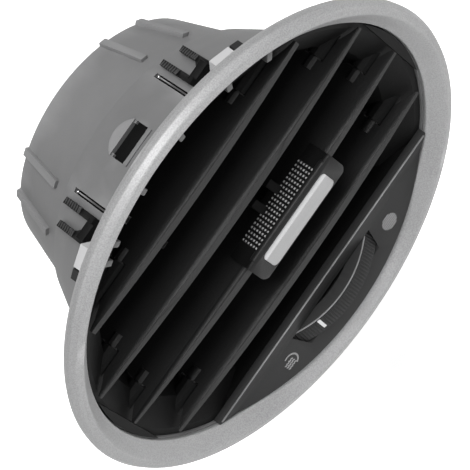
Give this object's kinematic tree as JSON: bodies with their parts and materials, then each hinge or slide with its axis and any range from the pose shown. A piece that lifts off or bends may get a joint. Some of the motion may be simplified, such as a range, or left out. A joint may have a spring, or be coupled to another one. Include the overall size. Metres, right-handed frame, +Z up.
{
  "type": "dashboard air vent",
  "caption": "Round dashboard air vent: satin trim ring, conical ribbed duct housing, horizontal louvre slats with a sliding knob, vertical vanes and a thumbwheel shutter.",
  "frame": {"origin": "on the trim ring axis, in the plane where the ring meets the dash", "axes": "+Z up, the face looks along -Y, the duct leaves along +Y, +X to the right seen from the front"},
  "size_m": [0.11, 0.0465, 0.11],
  "materials": {
    "satin_trim": "satin painted trim",
    "grey_plastic": "fine moulded grey",
    "black_plastic": "moulded black",
    "charcoal_plastic": "satin charcoal",
    "soft_black": "soft touch black",
    "silver_strip": "satin silver",
    "pale_plastic": "moulded pale grey",
    "steel_pin": "turned steel"
  },
  "bodies": {
    "vent_body": {"trim_ring": "satin_trim", "housing": "grey_plastic", "inner_frame": "black_plastic", "control_panel": "charcoal_plastic", "wheel_axle": "steel_pin", "retaining_clip_left": "black_plastic", "retaining_clip_right": "black_plastic", "trim_lug_left": "pale_plastic", "trim_lug_right": "pale_plastic", "lock_tab_left": "black_plastic", "lock_tab_right": "black_plastic"},
    "slat_1": {"slat_1": "black_plastic"},
    "slat_2": {"slat_2": "black_plastic"},
    "slat_3": {"slat_3": "black_plastic"},
    "slat_4": {"slat_4": "black_plastic"},
    "slat_link": {"slat_link": "black_plastic"},
    "knob": {"slide_knob": "soft_black", "knob_strip": "silver_strip"},
    "vane_1": {"vane_1": "black_plastic"},
    "vane_2": {"vane_2": "black_plastic"},
    "vane_3": {"vane_3": "black_plastic"},
    "vane_4": {"vane_4": "black_plastic"},
    "vane_5": {"vane_5": "black_plastic"},
    "vane_6": {"vane_6": "black_plastic"},
    "vane_7": {"vane_7": "black_plastic"},
    "vane_link": {"vane_link": "black_plastic"},
    "thumbwheel": {"thumbwheel": "soft_black"},
    "shutter_left": {"shutter_blade_left": "black_plastic", "shutter_crank_left": "black_plastic"},
    "shutter_middle": {"shutter_blade_middle": "black_plastic", "shutter_crank_middle": "black_plastic", "shutter_pinion": "black_plastic"},
    "shutter_right": {"shutter_blade_right": "black_plastic", "shutter_crank_right": "black_plastic"},
    "shutter_link": {"shutter_link": "black_plastic"}
  },
  "joints": [
    {"name": "slat_tilt", "type": "hinge", "parent": "vent_body", "child": "slat_3", "pos_m": [0, 0.0035, -0.00235], "axis": [1, 0, 0], "range_deg": [-10, 20]},
    {"name": "slat_1_tilt", "type": "hinge", "parent": "vent_body", "child": "slat_1", "pos_m": [0, 0.0035, 0.03165], "axis": [1, 0, 0], "range_deg": [-10.01, 20.01]},
    {"name": "slat_2_tilt", "type": "hinge", "parent": "vent_body", "child": "slat_2", "pos_m": [0, 0.0035, 0.01465], "axis": [1, 0, 0], "range_deg": [-10.01, 20.01]},
    {"name": "slat_4_tilt", "type": "hinge", "parent": "vent_body", "child": "slat_4", "pos_m": [0, 0.0035, -0.01935], "axis": [1, 0, 0], "range_deg": [-10.01, 20.01]},
    {"name": "slat_link_pivot", "type": "hinge", "parent": "slat_3", "child": "slat_link", "pos_m": [-0.0129, 0.0083, -0.00235], "axis": [1, 0, 0], "range_deg": [-20.01, 10.01]},
    {"name": "knob_slide", "type": "slide", "parent": "slat_3", "child": "knob", "axis": [1, 0, 0], "range_m": [-0.015, 0.001]},
    {"name": "vane_1_swing", "type": "hinge", "parent": "vent_body", "child": "vane_1", "pos_m": [-0.0252, 0.015, 0], "axis": [0, 0, 1], "range_deg": [-81.1, 5.42]},
    {"name": "vane_2_swing", "type": "hinge", "parent": "vent_body", "child": "vane_2", "pos_m": [-0.0168, 0.015, 0], "axis": [0, 0, 1], "range_deg": [-81.1, 5.42]},
    {"name": "vane_3_swing", "type": "hinge", "parent": "vent_body", "child": "vane_3", "pos_m": [-0.0084, 0.015, 0], "axis": [0, 0, 1], "range_deg": [-81.1, 5.42]},
    {"name": "vane_4_swing", "type": "hinge", "parent": "vent_body", "child": "vane_4", "pos_m": [0, 0.015, 0], "axis": [0, 0, 1], "range_deg": [-81.1, 5.42]},
    {"name": "vane_5_swing", "type": "hinge", "parent": "vent_body", "child": "vane_5", "pos_m": [0.0084, 0.015, 0], "axis": [0, 0, 1], "range_deg": [-81.1, 5.42]},
    {"name": "vane_6_swing", "type": "hinge", "parent": "vent_body", "child": "vane_6", "pos_m": [0.0168, 0.015, 0], "axis": [0, 0, 1], "range_deg": [-81.1, 5.42]},
    {"name": "vane_7_swing", "type": "hinge", "parent": "vent_body", "child": "vane_7", "pos_m": [0.0252, 0.015, 0], "axis": [0, 0, 1], "range_deg": [-81.1, 5.42]},
    {"name": "vane_link_pivot", "type": "hinge", "parent": "vane_4", "child": "vane_link", "pos_m": [-0.00184, 0.01737, 0.012], "axis": [0, 0, 1], "range_deg": [-5.42, 81.1]},
    {"name": "wheel_turn", "type": "hinge", "parent": "vent_body", "child": "thumbwheel", "pos_m": [0, 0.0194, -0.0393], "axis": [0, 0, 1], "range_deg": [-10.9, 49.7]},
    {"name": "shutter_left_turn", "type": "hinge", "parent": "vent_body", "child": "shutter_left", "pos_m": [-0.0188, 0.0312, 0], "axis": [0, 0, 1], "range_deg": [-69.6, 15.3]},
    {"name": "shutter_middle_turn", "type": "hinge", "parent": "vent_body", "child": "shutter_middle", "pos_m": [0, 0.0312, 0], "axis": [0, 0, 1], "range_deg": [-69.6, 15.3]},
    {"name": "shutter_right_turn", "type": "hinge", "parent": "vent_body", "child": "shutter_right", "pos_m": [0.0188, 0.0312, 0], "axis": [0, 0, 1], "range_deg": [-69.6, 15.3]},
    {"name": "shutter_link_pivot", "type": "hinge", "parent": "shutter_middle", "child": "shutter_link", "pos_m": [-0.00229, 0.03565, -0.035], "axis": [0, 0, 1], "range_deg": [-15.3, 69.6]}
  ],
  "couplings": [
    {"joint": "slat_1_tilt", "follows": "slat_tilt", "ratio": 1},
    {"joint": "slat_2_tilt", "follows": "slat_tilt", "ratio": 1},
    {"joint": "slat_4_tilt", "follows": "slat_tilt", "ratio": 1},
    {"joint": "slat_link_pivot", "follows": "slat_tilt", "ratio": -1},
    {"joint": "vane_1_swing", "follows": "knob_slide", "rad_per_m": 94.34},
    {"joint": "vane_2_swing", "follows": "knob_slide", "rad_per_m": 94.34},
    {"joint": "vane_3_swing", "follows": "knob_slide", "rad_per_m": 94.34},
    {"joint": "vane_4_swing", "follows": "knob_slide", "rad_per_m": 94.34},
    {"joint": "vane_5_swing", "follows": "knob_slide", "rad_per_m": 94.34},
    {"joint": "vane_6_swing", "follows": "knob_slide", "rad_per_m": 94.34},
    {"joint": "vane_7_swing", "follows": "knob_slide", "rad_per_m": 94.34},
    {"joint": "vane_link_pivot", "follows": "knob_slide", "rad_per_m": -94.34},
    {"joint": "shutter_left_turn", "follows": "wheel_turn", "ratio": -1.4},
    {"joint": "shutter_middle_turn", "follows": "wheel_turn", "ratio": -1.4},
    {"joint": "shutter_right_turn", "follows": "wheel_turn", "ratio": -1.4},
    {"joint": "shutter_link_pivot", "follows": "wheel_turn", "ratio": 1.4}
  ]
}
